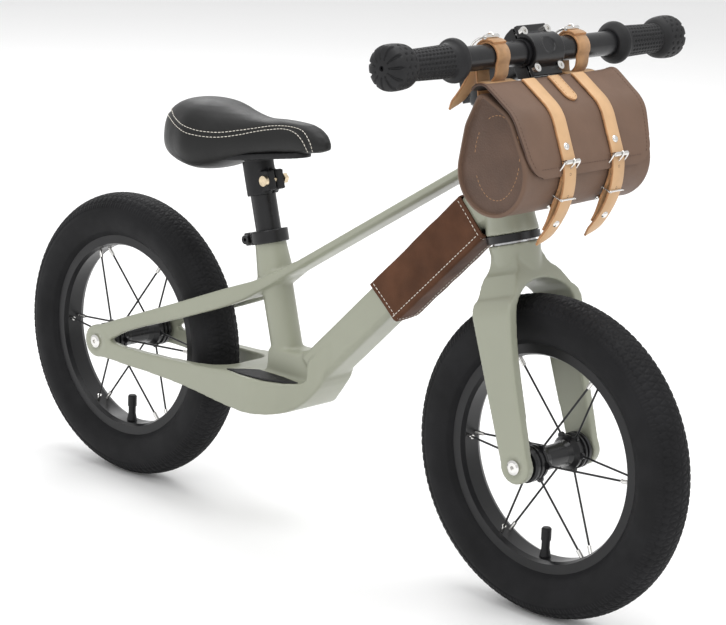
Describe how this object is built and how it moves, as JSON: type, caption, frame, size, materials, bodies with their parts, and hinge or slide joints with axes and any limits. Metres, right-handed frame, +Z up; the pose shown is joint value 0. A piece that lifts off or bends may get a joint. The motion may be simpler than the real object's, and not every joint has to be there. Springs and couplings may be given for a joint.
{
  "type": "balance bike",
  "caption": "Child's pedal-free balance bike: cast frame, straight fork, pneumatic spoked wheels, adjustable padded saddle, upright bar and a strapped barrel bag.",
  "frame": {"origin": "on the floor, in the bike's middle plane, half way between the two axles", "axes": "+X points the way the bike rolls, +Y is the rider's left and +Z is up"},
  "size_m": [0.8679, 0.402, 0.537],
  "materials": {
    "frame_paint": "satin grey-green powder coat",
    "black_alloy": "gloss black anodised or painted alloy",
    "rim_black": "satin black anodised rim",
    "black_steel": "black oxide steel",
    "steel": "machined steel",
    "zinc_steel": "yellow zinc plated steel",
    "bolt_chrome": "nickel plated steel",
    "black_plastic": "moulded black plastic",
    "grip_rubber": "moulded black rubber",
    "tyre_rubber": "black tyre rubber with a block tread",
    "rim_tape": "woven cotton rim tape",
    "bag_leather": "taupe brown grained leather, stitched in the same colour",
    "strap_leather": "natural tan strap leather with raw edges",
    "cover_leather": "dark brown grained leather with pale stitching",
    "saddle_vinyl": "smooth black synthetic leather with pale stitching"
  },
  "bodies": {
    "frame": {"frame": "frame_paint", "headset_cups": "black_alloy", "headset_bearings": "steel", "seat_collar": "black_alloy", "seat_collar_bolt": "black_steel", "footrest_pads": "grip_rubber", "down_tube_cover": "cover_leather", "rear_axle": "steel", "rear_axle_bolts": "bolt_chrome"},
    "steering": {"fork": "frame_paint", "crown_race": "steel", "headset_cover": "black_alloy", "spacer": "black_alloy", "stem": "black_alloy", "stem_faceplate": "black_alloy", "faceplate_bolts": "bolt_chrome", "stem_clamp_bolts": "bolt_chrome", "top_cap": "black_plastic", "top_cap_bolt": "bolt_chrome", "handlebar": "black_alloy", "grip_left": "grip_rubber", "grip_right": "grip_rubber", "front_axle": "steel", "front_axle_bolts": "bolt_chrome", "bag_body": "bag_leather", "bar_straps": "strap_leather", "bar_strap_buckles": "bolt_chrome", "bag_snap_studs": "bolt_chrome"},
    "front_wheel": {"front_tyre": "tyre_rubber", "front_inner_tube": "grip_rubber", "front_rim": "rim_black", "front_rim_tape": "rim_tape", "front_spokes": "black_steel", "front_nipples": "bolt_chrome", "front_hub": "black_alloy", "front_bearings": "steel", "front_valve": "grip_rubber", "front_valve_cap": "black_plastic"},
    "rear_wheel": {"rear_tyre": "tyre_rubber", "rear_inner_tube": "grip_rubber", "rear_rim": "rim_black", "rear_rim_tape": "rim_tape", "rear_spokes": "black_steel", "rear_nipples": "bolt_chrome", "rear_hub": "black_alloy", "rear_bearings": "steel", "rear_valve": "grip_rubber", "rear_valve_cap": "black_plastic"},
    "saddle": {"seat_post": "black_alloy", "saddle_base": "black_plastic", "saddle_clamp_bolt": "zinc_steel", "saddle_pad": "saddle_vinyl"},
    "flap": {"bag_flap": "bag_leather", "front_strap_left": "strap_leather", "front_strap_right": "strap_leather", "strap_buckles": "bolt_chrome", "strap_keepers": "bolt_chrome", "strap_rivets": "bolt_chrome", "flap_tab": "strap_leather"}
  },
  "joints": [
    {"name": "steering_turn", "type": "hinge", "parent": "frame", "child": "steering", "pos_m": [0.226, 0, 0.343], "axis": [-0.2874, 0, 0.9578], "range_deg": [-60, 60]},
    {"name": "front_wheel_spin", "type": "hinge", "parent": "steering", "child": "front_wheel", "pos_m": [0.284, 0, 0.15], "axis": [0, 1, 0], "continuous": true},
    {"name": "rear_wheel_spin", "type": "hinge", "parent": "frame", "child": "rear_wheel", "pos_m": [-0.284, 0, 0.15], "axis": [0, 1, 0], "continuous": true},
    {"name": "seat_height", "type": "slide", "parent": "frame", "child": "saddle", "axis": [-0.2656, 0, 0.9641], "range_m": [-0.03, 0.05]},
    {"name": "flap_lift", "type": "hinge", "parent": "steering", "child": "flap", "pos_m": [0.252, 0, 0.4873], "axis": [0, -1, 0], "range_deg": [0, 20]}
  ]
}
